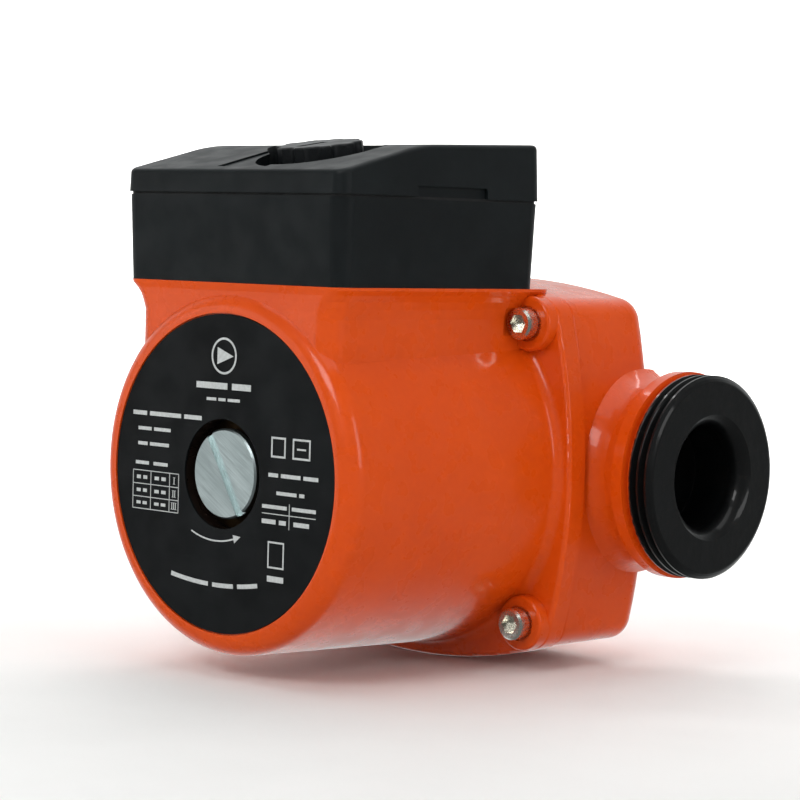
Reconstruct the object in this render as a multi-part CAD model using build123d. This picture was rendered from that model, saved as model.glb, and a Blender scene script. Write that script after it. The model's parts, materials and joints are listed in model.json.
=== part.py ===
from build123d import *
import math
import os

# Wet-rotor circulator pump. All sizes are in millimetres.
# +X is the pipe axis, -Y is the motor's front, +Z is the terminal box.
# The origin is where the pipe axis and the motor axis cross.

# ---- driving dimensions: ports and pump housing ----
PORT_SPAN = 130.0            # from pipe face to pipe face
THREAD_R = 23.90             # G 1 1/2 crest radius
THREAD_ROOT_R = 22.42
THREAD_PITCH = 2.309
THREAD_TURNS = 3
THREAD_CREST = 0.5           # width of the flat on each crest
THREAD_START_X = 58.1
BORE_R = 12.0
MOUTH_R = 14.8               # rounded entry at each pipe face
MOUTH_STEP = 0.2             # the machined mouth is a little wider than the cast way
THREAD_FLANK = 0.75          # length of a thread's flank along the pipe axis
COLLAR_R = 24.4
COLLAR_X = 54.2              # the collar's full width starts here
NECK_R = 21.6
NECK_X = (40.0, 52.6)        # the neck's two ends
SPLIT_Y = -24.0              # joint between pump housing and motor
BLOCK_BACK_Y = 3.6
HOUSING_HALF = 45.2          # mid-side half width of the arc-sided square
SCREW_AT = 35.0              # flange screws at (+-35, +-35)
CORNER_R = 6.2
BARREL_R = 17.5
CHANNEL_WALL = 4.5
SUCTION_Y = 7.0              # suction channel runs behind the impeller
THROAT_R = 6.0               # narrow end of the discharge channel
BLOCK_EDGE_R = 5.0
SPLIT_EDGE_R = 0.8
TAPPED_R = 2.5               # tapped holes for the flange screws
TAPPED_END_Y = -7.0
ARROW_PAD = (38, 13, 3)      # width, height and corner radius
ARROW_RAISE = 0.8

# ---- driving dimensions: wet end ----
SHELF_Y = -19.5              # floor of the housing's counterbore
COUNTERBORE_R = 40.3
CHAMBER_R = 34.0
CHAMBER_BACK_Y = -10.4
IMPELLER_R = 31.0
EYE_R = 11.2
NECK_RING_R = 13.0
NECK_RING_WALL = 3.0
NECK_RING_DEPTH = 4.0
GASKET_INNER_R = 36.6
GASKET_OUTER_R = 40.0
GASKET_THICK = 2.0
PLATE_FRONT_Y = SHELF_Y - GASKET_THICK
PLATE_R = 36.4
PLATE_BORE_R = 5.5
PLATE_HUB_R = 12.0
HOLE_CIRCLE_R = 17.0         # small holes that let water into the can
VANES = 6
VANE_THICK = 1.6
VANE_CENTRE = (6.0, 17.5)    # centre of the arc that a vane follows
VANE_ARC_R = 16.5
WHEEL_Y = (-18.9, -17.4, -12.4, -11.2)   # faces of the back disc and of the shroud
HUB_R = 8.0
HUB_BACK_Y = -11.5
SKIRT_BACK_Y = -8.2
SKIRT_WALL = 1.4
CLIP_R = 6.4
SHAFT_R = 4.5
RUNNING_GAP = 0.03           # radial clearance of the shaft in its bearings
BEARING_R = 9.0
REAR_BEARING_Y = (-34.0, -24.0)
FRONT_BEARING_Y = (-84.6, -77.0)
HOLDER_FRONT_Y = -85.8
SHAFT_FRONT_Y = -85.5
SHAFT_BACK_Y = -9.0
CAN_R = 23.5
CAN_WALL = 0.5
CAN_FRONT_Y = -88.6
CAN_FLANGE = 0.6
CAN_NECK_R = 10.0            # hole in the can's closed end, for the vent boss
ROTOR_R = 21.9
ROTOR_Y = (-71.0, -41.0)
ROTOR_SLOTS = 20
CAGE_BAR_R = 1.3
CAGE_CIRCLE_R = 19.2
CAGE_RING_R = (13.0, 21.2)
CAGE_Y = (-74.0, -38.5)
SLEEVE_WALL = 0.4
SLEEVE_END = 0.5
THRUST_CUP_R = 9.6
THRUST_CUP_Y = (-38.0, -36.8)
THRUST_DISC_R = 9.3
THRUST_DISC_BACK_Y = -34.3

# ---- driving dimensions: motor ----
FACE_Y = -96.2               # front rim of the motor casing
CASING_FRONT_R = 41.3
CASING_BACK_R = 43.0
FRONT_EDGE_R = 4.5
STATOR_BORE_R = 38.0
CASING_WALL_Y = -90.0        # inside of the casing's front wall
FLANGE_BACK_Y = -24.5
FLANGE_FRONT_Y = -30.0
FLANGE_HALF = 46.5
LUG_Y = -33.0
LUG_R = 6.6
SCREW_HOLE_R = 2.75
SCREW_SHANK_R = 2.45
SCREW_END_Y = -9.0
HEX_KEY = 4.0                # across the flats of the screw's socket
HEX_KEY_DEPTH = 2.6
SCREW_SEAT_Y = -32.5
SCREW_HEAD_R = 3.7
SCREW_HEAD = 4.0
LABEL_R = 36.0
LABEL_FACE_Y = -96.0
LABEL_THICK = 0.5
VENT_HOLE_R = 12.4
STATOR_SLOTS = 16
STATOR_SLOT = (4.4, 6.4)     # width and depth of a slot
STATOR_SLOT_CORNER_R = 1.2
SLOT_CIRCLE_R = 28.7
SLOT_MOUTH = (1.6, 3.0)
SLOT_MOUTH_R = 24.6
CORE_INNER_R = 23.8
CORE_FRONT_Y = -73.0
CORE_BACK_Y = -39.0
COIL_R = 29.5
COIL_WIDTH = 9.5
COIL_FRONT = 10.6            # length of the front end turns along the motor axis
COIL_BACK = 8.0

# ---- driving dimensions: vent plug ----
VENT_HEAD_R = 10.2
VENT_FACE_Y = -95.2
VENT_SEAT_Y = -91.8          # front face of the brass boss
VENT_SHANK_R = 8.3
VENT_BORE_R = 8.4
VENT_SLOT_TURN = 59.0        # degrees from the horizontal
BOSS_R = 12.4
BOSS_BACK_Y = -86.0
VENT_TIP_Y = -87.0
VENT_SLOT = (2.0, 1.2)       # width and depth

# ---- driving dimensions: saddle and terminal box ----
NECK_HALF = 32.0
SADDLE_FRONT_Y = -94.5
SADDLE_TOP_Z = 43.0
RIM_HALF = 35.4
NECK_CORNER_R = 5.0
FLARE_STATIONS = (           # (half width, front y, corner radius, z) of the saddle, downwards
    (35.4, -95.1, 4.0, 43.0),
    (35.3, -95.0, 4.0, 42.3),
    (34.2, -94.8, 4.3, 41.2),
    (33.2, -94.65, 4.6, 39.8),
    (32.5, -94.55, 4.8, 38.0),
    (31.8, -94.3, 5.0, 35.0),
)
BOX_CENTRE_Y = -62.75
BOX_WIDTH = 70.1             # at the foot; the sides lean outwards by DRAFT
BOX_DEPTH = 64.2
BOX_TOP_Z = 62.7
LID_FOOT_Z = 63.3
DRAFT = 2.4
WALL = 2.2
BOX_CORNER_R = 3.2
LID_FRONT = (-95.7, 68.3)    # (y, z) of the lid's top line
LID_BEND = (-70.1, 74.9)
LID_REAR = (-29.8, 76.4)
LID_BEND_R = 50.0
WELL_Y = -64.8
WELL_R = 14.1
WELL_WALL = 1.7
SCOOP_AT = (9.0, -75.0)      # finger recess in front of the knob
SCOOP_R = 15.5
SCOOP_FLOOR_Z = 67.6
KNOB_FOOT = (0.0, -65.5, 60.0)
KNOB_TILT = 9.0              # degrees towards the motor's front
KNOB_R = 10.2
KNOB_TOP = 15.6              # along the knob's axis from its foot
KNOB_BOTTOM = 5.6
FLUTES = 10
SPINDLE_R = 3.0
SPOUT_Y = -64.0
SPOUT_Z = 53.9
SPOUT_R = 8.0
SPOUT_BORE_R = 6.2
CABLE_R = 3.2
NUT_R = 10.2
NUT_X = (-47.4, -38.4)
NUT_RIBS = 12
SLEEVE_X = (-43.8, -36.0)    # rubber sleeve in the spout
PASSAGE_Y = -83.5            # lead passage from the motor into the box
PASSAGE_HALF = (8.0, 4.0)
PILLAR_Y = -37.5             # cover screw pillar
PILLAR_R = 4.0
SWITCH_TOP_Z = 58.0
SWITCH_RING_Z = 60.5         # top of the switch's round collar
COVER_SCREW_Z = 73.2         # seat of the cover screw's head
LID_EDGE_R = 1.2
BOX_SCREW_AT = (25.0, (-84.0, -53.0))   # half spacing, and the two rows
BOX_SCREW_HOLE_R = 2.1
EARTH_AT = (-25.0, -66.0)     # (x, y) of the earth screw
TERMINALS = (12.5, 19.5, 26.5)  # x of the three clamping screws

HEX_SIDES = 6
QUARTER = 90


# ---- helpers ----
def turned_y(points):
    """Solid of revolution about the motor axis, from (radius, y) points."""
    return revolve(make_face(Polyline(*points, close=True)), Axis.Y)


def turned_x(points):
    """Solid of revolution about the pipe axis, from (x, radius) points."""
    return revolve(make_face(Polyline(*points, close=True)), Axis.X)


def ring_y(outer, inner, front, back):
    """Plain ring or disc about the motor axis."""
    return turned_y([(inner, front), (outer, front), (outer, back), (inner, back)])


def rod_y(radius, front, back, x=0.0, z=0.0):
    """Cylinder parallel to the motor axis."""
    return Pos(x, (front + back) / 2, z) * Rot(X=90) * Cylinder(radius, back - front)


def rod_x(radius, left, right, y=0.0, z=0.0):
    """Cylinder parallel to the pipe axis."""
    return Pos((left + right) / 2, y, z) * Rot(Y=90) * Cylinder(radius, right - left)


def rod_z(radius, low, high, x=0.0, y=0.0):
    """Upright cylinder."""
    return Pos(x, y, (low + high) / 2) * Cylinder(radius, high - low)


def block(x0, x1, y0, y1, z0, z1):
    """Box between two corners."""
    return Pos((x0 + x1) / 2, (y0 + y1) / 2, (z0 + z1) / 2) * Box(x1 - x0, y1 - y0, z1 - z0)


def prism_y(face, front, back, taper=0.0):
    """Extrude a face drawn in X and Z from the back station to the front one."""
    return extrude(Plane.XZ.offset(-back) * face, back - front, taper=taper)


def arc_sided_square(half, corner_at, corner_r):
    """Square with four bowed sides and four round corners."""
    bow = half - corner_at
    side_r = (corner_at**2 + bow**2 - corner_r**2) / (2 * (bow - corner_r))
    reach = math.hypot(corner_at - half + side_r, corner_at)
    join_x = half - side_r + side_r * (corner_at - half + side_r) / reach
    join_z = side_r * corner_at / reach
    tip = corner_at + corner_r / math.sqrt(2)
    edges = []
    for k in range(4):
        turn = Rot(Z=QUARTER * k)
        edges.append(turn * ThreePointArc((join_x, -join_z), (half, 0), (join_x, join_z)))
        edges.append(turn * ThreePointArc((join_x, join_z), (tip, tip), (join_z, join_x)))
    return make_face(edges)


def corner_places(at):
    """The four flange screw positions."""
    return [(sx * at, sz * at) for sx in (-1, 1) for sz in (-1, 1)]


def hex_prism(across_flats, height):
    """Hexagonal prism standing on the XY plane."""
    radius = across_flats / math.sqrt(3)
    return extrude(RegularPolygon(radius, HEX_SIDES), height)


# ---- pump housing ----
def port_profile():
    """(x, radius) outline of the threaded port, from its collar to the pipe face."""
    face = PORT_SPAN / 2
    crest, flank = THREAD_CREST, THREAD_FLANK
    points = [(28, 0), (28, BARREL_R), (NECK_X[0], NECK_R), (NECK_X[1], NECK_R)]
    points += [(COLLAR_X, COLLAR_R), (THREAD_START_X - 0.9, COLLAR_R), (THREAD_START_X - 0.6, THREAD_ROOT_R)]
    for turn in range(THREAD_TURNS):
        x = THREAD_START_X + turn * THREAD_PITCH
        points += [(x, THREAD_ROOT_R), (x + flank, THREAD_R), (x + flank + crest, THREAD_R)]
        points += [(x + 2 * flank + crest, THREAD_ROOT_R)]
    points[-1] = (face - 0.45, THREAD_R - 0.7)
    return points + [(face - 0.1, THREAD_R - 1.3), (face, THREAD_R - 1.7), (face, 0)]


def flare():
    """Hollow-sided cone that joins the port's neck to the wall of the housing."""
    wall_x, wall_r = 43.4, 24.4
    neck_x = NECK_X[1]
    sag = (47.0, 22.3)
    edges = [
        Polyline((30, 0), (30, wall_r), (wall_x, wall_r)),
        ThreePointArc((wall_x, wall_r), sag, (neck_x, NECK_R)),
        Polyline((neck_x, NECK_R), (neck_x, 0), (30, 0)),
    ]
    trumpet = revolve(make_face(edges), Axis.X)
    return trumpet & block(0, PORT_SPAN, SPLIT_Y, BLOCK_BACK_Y, -40, 40)


def port():
    """Right-hand port with its flare, neck and half of the barrel."""
    return turned_x(port_profile()) + flare() + rod_x(BARREL_R, 0, 30)


def mouth_cutter():
    """Water way of one port, with a rounded entry."""
    face = PORT_SPAN / 2
    straight_from, straight_to = face - 14.5, face - 5.0
    radius = BORE_R + MOUTH_STEP
    edges = [
        Polyline((straight_from, 0), (straight_from, radius), (straight_to, radius)),
        ThreePointArc((straight_to, radius), (face - 1.5, BORE_R + 0.9), (face, MOUTH_R)),
        Polyline((face, MOUTH_R), (face + 1, MOUTH_R), (face + 1, 0), (straight_from, 0)),
    ]
    return revolve(make_face(edges), Axis.X)


def suction_way(radius):
    """Bent channel from the left port to the space behind the impeller's eye."""
    bend_in, bend_out = -52.0, -36.0
    run = math.hypot(bend_out - bend_in, SUCTION_Y)
    angle = math.degrees(math.atan2(SUCTION_Y, bend_out - bend_in))
    middle = Pos((bend_in + bend_out) / 2, SUCTION_Y / 2, 0) * Rot(Z=angle)
    way = middle * Rot(Y=90) * Cylinder(radius, run)
    way += Pos(bend_in, 0, 0) * Sphere(radius)
    way += Pos(bend_out, SUCTION_Y, 0) * Sphere(radius)
    way += rod_x(radius, bend_out, 0, y=SUCTION_Y)
    way += Pos(0, SUCTION_Y, 0) * Sphere(radius)
    return way


def discharge_way():
    """Narrowing channel from the impeller chamber to the right port."""
    start, end = (31.0, -14.6), (52.0, 0.0)
    run = math.hypot(end[0] - start[0], end[1] - start[1])
    angle = math.degrees(math.atan2(end[1] - start[1], end[0] - start[0]))
    middle = Pos((start[0] + end[0]) / 2, (start[1] + end[1]) / 2, 0) * Rot(Z=angle)
    return middle * Rot(Y=90) * Cone(THROAT_R, BORE_R, run) + Pos(end[0], 0, 0) * Sphere(BORE_R)


def flow_arrow():
    """Raised arrow on the rear pad, pointing the way the water flows."""
    pad_back = SUCTION_Y + BORE_R + CHANNEL_WALL + 0.7
    pad = prism_y(RectangleRounded(*ARROW_PAD), SUCTION_Y + BORE_R, pad_back)
    shape = Polyline((-12, 1.2), (4, 1.2), (4, 4.2), (13, 0), (4, -4.2), (4, -1.2), (-12, -1.2), close=True)
    return pad + prism_y(make_face(shape), pad_back, pad_back + ARROW_RAISE)


def pump_housing():
    """Cast iron housing: two threaded ports, suction channel and impeller chamber."""
    outline = arc_sided_square(HOUSING_HALF, SCREW_AT, CORNER_R)
    body = prism_y(outline, SPLIT_Y, BLOCK_BACK_Y)
    body = fillet(body.faces().sort_by(Axis.Y)[-1].edges(), BLOCK_EDGE_R)
    body += port() + mirror(port(), Plane.YZ)
    bulge = suction_way(BORE_R + CHANNEL_WALL) & block(-54, 54, -10, 40, -30, 30)
    body += bulge + flow_arrow()
    body -= mouth_cutter() + mirror(mouth_cutter(), Plane.YZ)
    body -= suction_way(BORE_R) + rod_y(BORE_R, CHAMBER_BACK_Y, SUCTION_Y)
    body -= ring_y(COUNTERBORE_R, 0, SPLIT_Y - 1, SHELF_Y)
    body -= ring_y(CHAMBER_R, 0, SHELF_Y - 1, CHAMBER_BACK_Y)
    body -= ring_y(NECK_RING_R + NECK_RING_WALL, 0, CHAMBER_BACK_Y - 1, CHAMBER_BACK_Y + NECK_RING_DEPTH)
    body -= discharge_way()
    for x, z in corner_places(SCREW_AT):
        body -= rod_y(TAPPED_R, SPLIT_Y - 1, TAPPED_END_Y, x, z)
    rim = [e for e in body.edges() if abs(e.center().Y - SPLIT_Y) < 0.01 and e.bounding_box().size.Y < 0.01]
    outer = [e for e in rim if max(abs(e.center().X), abs(e.center().Z)) > COUNTERBORE_R + 1]
    return fillet(outer, SPLIT_EDGE_R)


def neck_ring():
    """Wear ring pressed into the wall round the impeller's eye."""
    outer = NECK_RING_R + NECK_RING_WALL
    return ring_y(outer, NECK_RING_R, CHAMBER_BACK_Y, CHAMBER_BACK_Y + NECK_RING_DEPTH)


def housing_gasket():
    """Flat rubber seal between the rotor can's flange and the housing's shelf."""
    return ring_y(GASKET_OUTER_R, GASKET_INNER_R, PLATE_FRONT_Y, SHELF_Y)


# ---- wet end: can, bearings and rotor ----
def bearing_plate():
    """Plate that closes the rotor can and holds the rear bearing."""
    hub_front, hub_back = REAR_BEARING_Y
    profile = [(PLATE_BORE_R, SHELF_Y), (PLATE_R, SHELF_Y), (PLATE_R, PLATE_FRONT_Y)]
    profile += [(PLATE_HUB_R, PLATE_FRONT_Y), (PLATE_HUB_R, hub_front), (BEARING_R, hub_front)]
    profile += [(BEARING_R, hub_back), (PLATE_BORE_R, hub_back)]
    plate = turned_y(profile)
    for k in range(4):
        plate -= Rot(Y=QUARTER * k + 45) * rod_y(1.5, PLATE_FRONT_Y - 1, SHELF_Y + 1, x=HOLE_CIRCLE_R)
    return plate


def sleeve_bearing(front, back):
    """Ceramic sleeve that the shaft runs in."""
    return ring_y(BEARING_R, SHAFT_R + RUNNING_GAP, front, back)


def rotor_can():
    """Thin steel cup that keeps the water away from the stator."""
    back, rim = PLATE_FRONT_Y, GASKET_OUTER_R
    inner = CAN_R - CAN_WALL
    front_in = CAN_FRONT_Y + CAN_WALL
    neck = CAN_NECK_R
    profile = [(neck, CAN_FRONT_Y), (CAN_R, CAN_FRONT_Y), (CAN_R, back - CAN_FLANGE)]
    profile += [(rim, back - CAN_FLANGE), (rim, back), (inner, back), (inner, front_in), (neck, front_in)]
    return turned_y(profile)


def vent_boss():
    """Brass boss in the end of the can, threaded for the vent plug."""
    profile = [(VENT_BORE_R, VENT_SEAT_Y), (BOSS_R, VENT_SEAT_Y), (BOSS_R, CAN_FRONT_Y)]
    profile += [(CAN_NECK_R, CAN_FRONT_Y), (CAN_NECK_R, BOSS_BACK_Y), (VENT_BORE_R, BOSS_BACK_Y)]
    return turned_y(profile)


def can_o_ring():
    """O-ring between the boss and the motor casing."""
    return revolve(Pos(BOSS_R + 1.05, -90.6) * Circle(0.95), Axis.Y)


def front_bearing_holder():
    """Disc at the closed end of the can that holds the front bearing."""
    rim = CAN_R - CAN_WALL - 0.1
    bore, hub = 6.0, 11.5
    front, back = FRONT_BEARING_Y
    profile = [(bore, HOLDER_FRONT_Y), (rim, HOLDER_FRONT_Y), (rim, front), (hub, front), (hub, back)]
    profile += [(BEARING_R, back), (BEARING_R, front), (bore, front)]
    holder = turned_y(profile)
    for k in range(4):
        holder -= Rot(Y=QUARTER * k) * rod_y(2.0, HOLDER_FRONT_Y - 1, front + 1, x=HOLE_CIRCLE_R)
    return holder


def shaft():
    """Ceramic shaft with a screwdriver slot in its front end."""
    rod = rod_y(SHAFT_R, SHAFT_FRONT_Y, SHAFT_BACK_Y)
    rod = chamfer(rod.edges().filter_by(GeomType.CIRCLE), 0.4)
    return rod - block(-SHAFT_R, SHAFT_R, SHAFT_FRONT_Y, SHAFT_FRONT_Y + 1.2, -0.6, 0.6)


def rotor_slot_bar(front, back):
    """One cage bar, in its slot."""
    return rod_y(CAGE_BAR_R, front, back, z=CAGE_CIRCLE_R)


def rotor_core():
    """Laminated rotor core with round slots for the cage."""
    front, back = ROTOR_Y
    core = ring_y(ROTOR_R, SHAFT_R, front, back)
    for k in range(ROTOR_SLOTS):
        core -= Rot(Y=360 / ROTOR_SLOTS * k) * rotor_slot_bar(front - 1, back + 1)
    return core


def rotor_cage():
    """Aluminium cage: bars joined by two end rings."""
    inner, outer = CAGE_RING_R
    front, back = ROTOR_Y
    cage = ring_y(outer, inner, CAGE_Y[0], front) + ring_y(outer, inner, back, CAGE_Y[1])
    for k in range(ROTOR_SLOTS):
        cage += Rot(Y=360 / ROTOR_SLOTS * k) * rotor_slot_bar(front - 0.5, back + 0.5)
    return cage


def rotor_sleeve():
    """Thin steel jacket that seals the rotor core."""
    outer = ROTOR_R + SLEEVE_WALL
    front, back = CAGE_Y
    jacket = ring_y(outer, ROTOR_R, front - SLEEVE_END, back + SLEEVE_END)
    jacket += ring_y(outer, SHAFT_R, front - SLEEVE_END, front)
    jacket += ring_y(outer, SHAFT_R, back, back + SLEEVE_END)
    return jacket


def thrust_holder():
    """Rubber cup that carries the thrust bearing on the shaft."""
    return ring_y(THRUST_CUP_R, SHAFT_R, *THRUST_CUP_Y)


def thrust_bearing():
    """Carbon disc that takes the rotor's end thrust."""
    return ring_y(THRUST_DISC_R, SHAFT_R, THRUST_CUP_Y[1], THRUST_DISC_BACK_Y)


def vane():
    """One backward-curved vane, as an arc-shaped strip between the two discs."""
    half = VANE_THICK / 2
    strip = Pos(*VANE_CENTRE) * (Circle(VANE_ARC_R + half) - Circle(VANE_ARC_R - half))
    window = Pos(VANE_CENTRE[0] + 20, VANE_CENTRE[1]) * Rectangle(40, 60)
    annulus = Circle(IMPELLER_R - 0.5) - Circle(EYE_R + 0.6)
    return strip & window & annulus


def impeller():
    """Back disc, hub and vanes of the impeller."""
    front, disc_back, vane_back, _ = WHEEL_Y
    wheel = ring_y(IMPELLER_R, SHAFT_R, front, disc_back) + ring_y(HUB_R, SHAFT_R, disc_back, HUB_BACK_Y)
    blade = prism_y(vane(), disc_back, vane_back)
    for k in range(VANES):
        wheel += Rot(Y=360 / VANES * k) * blade
    return wheel


def impeller_shroud():
    """Front disc of the impeller, with the skirt that runs in the neck ring."""
    front, back = WHEEL_Y[2:]
    skirt = EYE_R + SKIRT_WALL
    profile = [(EYE_R, front), (IMPELLER_R, front), (IMPELLER_R, back), (skirt, back)]
    profile += [(skirt, SKIRT_BACK_Y), (EYE_R, SKIRT_BACK_Y)]
    return turned_y(profile)


def impeller_clip():
    """Spring ring that holds the impeller on the shaft."""
    return ring_y(CLIP_R, SHAFT_R, HUB_BACK_Y, HUB_BACK_Y + 1)


# ---- motor ----
def stator_slot(gap=0.0):
    """One stator slot as a face in X and Z, with its narrow mouth towards the rotor."""
    width, depth = (size - 2 * gap for size in STATOR_SLOT)
    return Pos(0, SLOT_CIRCLE_R) * RectangleRounded(width, depth, STATOR_SLOT_CORNER_R)


def stator_core():
    """Laminated stator core, slotted for the winding."""
    core = ring_y(STATOR_BORE_R - 0.05, CORE_INNER_R, CORE_FRONT_Y, CORE_BACK_Y)
    slot = prism_y(stator_slot(), CORE_FRONT_Y - 1, CORE_BACK_Y + 1)
    mouth = prism_y(Pos(0, SLOT_MOUTH_R) * Rectangle(*SLOT_MOUTH), CORE_FRONT_Y - 1, CORE_BACK_Y + 1)
    for k in range(STATOR_SLOTS):
        core -= Rot(Y=360 / STATOR_SLOTS * k) * (slot + mouth)
    return core


def stator_winding():
    """Copper winding: slot bundles joined by the two end turns."""
    front_middle = CORE_FRONT_Y - COIL_FRONT / 2 - 1
    front = Pos(COIL_R, front_middle) * RectangleRounded(COIL_WIDTH, COIL_FRONT, 4)
    back = Pos(COIL_R, CORE_BACK_Y + COIL_BACK / 2 + 1) * RectangleRounded(COIL_WIDTH, COIL_BACK, 3.5)
    coil = revolve(front, Axis.Y) + revolve(back, Axis.Y)
    bundle = prism_y(stator_slot(0.25), CORE_FRONT_Y - 3, CORE_BACK_Y + 3)
    for k in range(STATOR_SLOTS):
        coil += Rot(Y=360 / STATOR_SLOTS * k) * bundle
    return coil


def casing_shell():
    """Outside of the motor barrel, with its rounded front edge and flared foot."""
    front_in = CASING_FRONT_R - FRONT_EDGE_R
    foot = 2.4
    mid = FRONT_EDGE_R * (1 - math.sqrt(0.5))
    edges = [
        Line((0, FACE_Y), (front_in, FACE_Y)),
        ThreePointArc(
            (front_in, FACE_Y),
            (CASING_FRONT_R - mid, FACE_Y + mid),
            (CASING_FRONT_R, FACE_Y + FRONT_EDGE_R),
        ),
        Line((CASING_FRONT_R, FACE_Y + FRONT_EDGE_R), (CASING_BACK_R, FLANGE_FRONT_Y - foot)),
        ThreePointArc(
            (CASING_BACK_R, FLANGE_FRONT_Y - foot),
            (CASING_BACK_R + 0.3 * foot, FLANGE_FRONT_Y - 0.3 * foot),
            (CASING_BACK_R + foot, FLANGE_FRONT_Y),
        ),
        Line((CASING_BACK_R + foot, FLANGE_FRONT_Y), (CASING_BACK_R + foot, FLANGE_BACK_Y)),
        Polyline((CASING_BACK_R + foot, FLANGE_BACK_Y), (0, FLANGE_BACK_Y), (0, FACE_Y)),
    ]
    return revolve(make_face(edges), Axis.Y)


def saddle_plan(half, front, corner_r, z):
    """Rounded outline of the saddle at one height."""
    depth = FLANGE_BACK_Y - front
    return Pos(0, FLANGE_BACK_Y - depth / 2, z) * RectangleRounded(2 * half, depth, corner_r)


def saddle():
    """Neck under the terminal box, flared out to the box's foot."""
    low = 20.0
    neck = block(-NECK_HALF, NECK_HALF, SADDLE_FRONT_Y, FLANGE_BACK_Y, low, SADDLE_TOP_Z - 1)
    neck = fillet(neck.edges().filter_by(Axis.Z).group_by(Axis.Y)[0], NECK_CORNER_R)
    plans = [saddle_plan(*station) for station in FLARE_STATIONS]
    for upper, lower in zip(plans, plans[1:]):
        neck += loft([upper, lower], ruled=True)
    return neck


def motor_flange():
    """Arc-sided flange of the casing with its four screw lugs."""
    plate = prism_y(arc_sided_square(FLANGE_HALF, SCREW_AT, LUG_R), FLANGE_FRONT_Y, FLANGE_BACK_Y)
    plate = fillet(plate.faces().sort_by(Axis.Y)[0].edges(), 1.0)
    for x, z in corner_places(SCREW_AT):
        lug = rod_y(LUG_R - 0.15, LUG_Y, FLANGE_BACK_Y - 2, x, z)
        plate += fillet(lug.edges().group_by(Axis.Y)[0], 0.8)
    return plate


def stator_housing():
    """Painted aluminium motor casing with flange, screw lugs and saddle."""
    hollow = ring_y(STATOR_BORE_R, 0, CASING_WALL_Y, FLANGE_BACK_Y + 5)
    body = casing_shell() + saddle()
    body -= hollow
    body += motor_flange() - hollow
    body += ring_y(STATOR_BORE_R + 1.9, STATOR_BORE_R, FLANGE_BACK_Y, PLATE_FRONT_Y - CAN_FLANGE)
    body += ring_y(20, BOSS_R + 0.2, CASING_WALL_Y - 0.5, CASING_WALL_Y + 0.4)
    body -= ring_y(LABEL_R + 0.3, 0, FACE_Y - 1, LABEL_FACE_Y + LABEL_THICK)
    body -= ring_y(BOSS_R + 0.2, 0, FACE_Y, CASING_WALL_Y + 1)
    body -= ring_y(BOSS_R + 2.1, 0, CASING_WALL_Y - 1.6, CASING_WALL_Y + 1)
    body -= passage(30, SADDLE_TOP_Z + 1)
    for x, z in corner_places(SCREW_AT):
        body -= rod_y(SCREW_HOLE_R, LUG_Y - 1, FLANGE_BACK_Y + 1, x, z)
        body -= rod_y(SCREW_HEAD_R + 0.5, LUG_Y - 5, SCREW_SEAT_Y, x, z)
    body -= block(-RIM_HALF, RIM_HALF, FACE_Y, FLANGE_FRONT_Y - 0.4, SADDLE_TOP_Z, SADDLE_TOP_Z + 9)
    for x, y in box_screw_places() + [EARTH_AT]:
        body -= rod_z(1.95, 34.0, SADDLE_TOP_Z + 1, x, y)
    return body


def flange_screws():
    """Four socket head screws that hold the motor on the pump housing."""
    screws = []
    for x, z in corner_places(SCREW_AT):
        head_y = SCREW_SEAT_Y - SCREW_HEAD
        head = rod_y(SCREW_HEAD_R, head_y, SCREW_SEAT_Y)
        head = chamfer(head.edges().filter_by(GeomType.CIRCLE).group_by(Axis.Y)[0], 0.5)
        screw = head + rod_y(SCREW_SHANK_R, SCREW_SEAT_Y, SCREW_END_Y)
        screw -= Pos(0, head_y - 0.1, 0) * Rot(X=-90) * hex_prism(HEX_KEY, HEX_KEY_DEPTH)
        screws.append(Pos(x, 0, z) * screw)
    return Compound(children=screws)


def nameplate():
    """Round plate on the front of the motor."""
    return ring_y(LABEL_R, VENT_HOLE_R, LABEL_FACE_Y, LABEL_FACE_Y + LABEL_THICK)


# ---- vent plug ----
def vent_screw():
    """Slotted steel vent plug."""
    seat = VENT_SEAT_Y - 1.45
    head = rod_y(VENT_HEAD_R, VENT_FACE_Y, seat)
    head = chamfer(head.edges().filter_by(GeomType.CIRCLE).group_by(Axis.Y)[0], 0.4)
    wide, deep = VENT_SLOT
    slot = block(-12, 12, VENT_FACE_Y - 1, VENT_FACE_Y + deep, -wide / 2, wide / 2)
    screw = head + rod_y(VENT_SHANK_R, seat, VENT_TIP_Y)
    return screw - Rot(Y=VENT_SLOT_TURN) * slot


def vent_o_ring():
    """O-ring under the vent plug's head."""
    return revolve(Pos(9.25, VENT_SEAT_Y - 0.7) * Circle(0.62), Axis.Y)


# ---- terminal box ----
def box_screw_places():
    """Screws that hold the box on the saddle."""
    half, rows = BOX_SCREW_AT
    return [(side * half, y) for side in (-1, 1) for y in rows]


def passage(low, high):
    """Lead passage between two heights."""
    wide, deep = PASSAGE_HALF
    return block(-wide, wide, PASSAGE_Y - deep, PASSAGE_Y + deep, low, high)


def box_plan(z, grow=0.0):
    """Rounded rectangle of the box at one height, with the draft taken into account."""
    lean = math.tan(math.radians(DRAFT)) * (min(z, LID_FOOT_Z) - SADDLE_TOP_Z)
    extra = 2 * (lean + grow)
    corner = BOX_CORNER_R + grow
    return Pos(0, BOX_CENTRE_Y, z) * RectangleRounded(BOX_WIDTH + extra, BOX_DEPTH + extra, corner)


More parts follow.
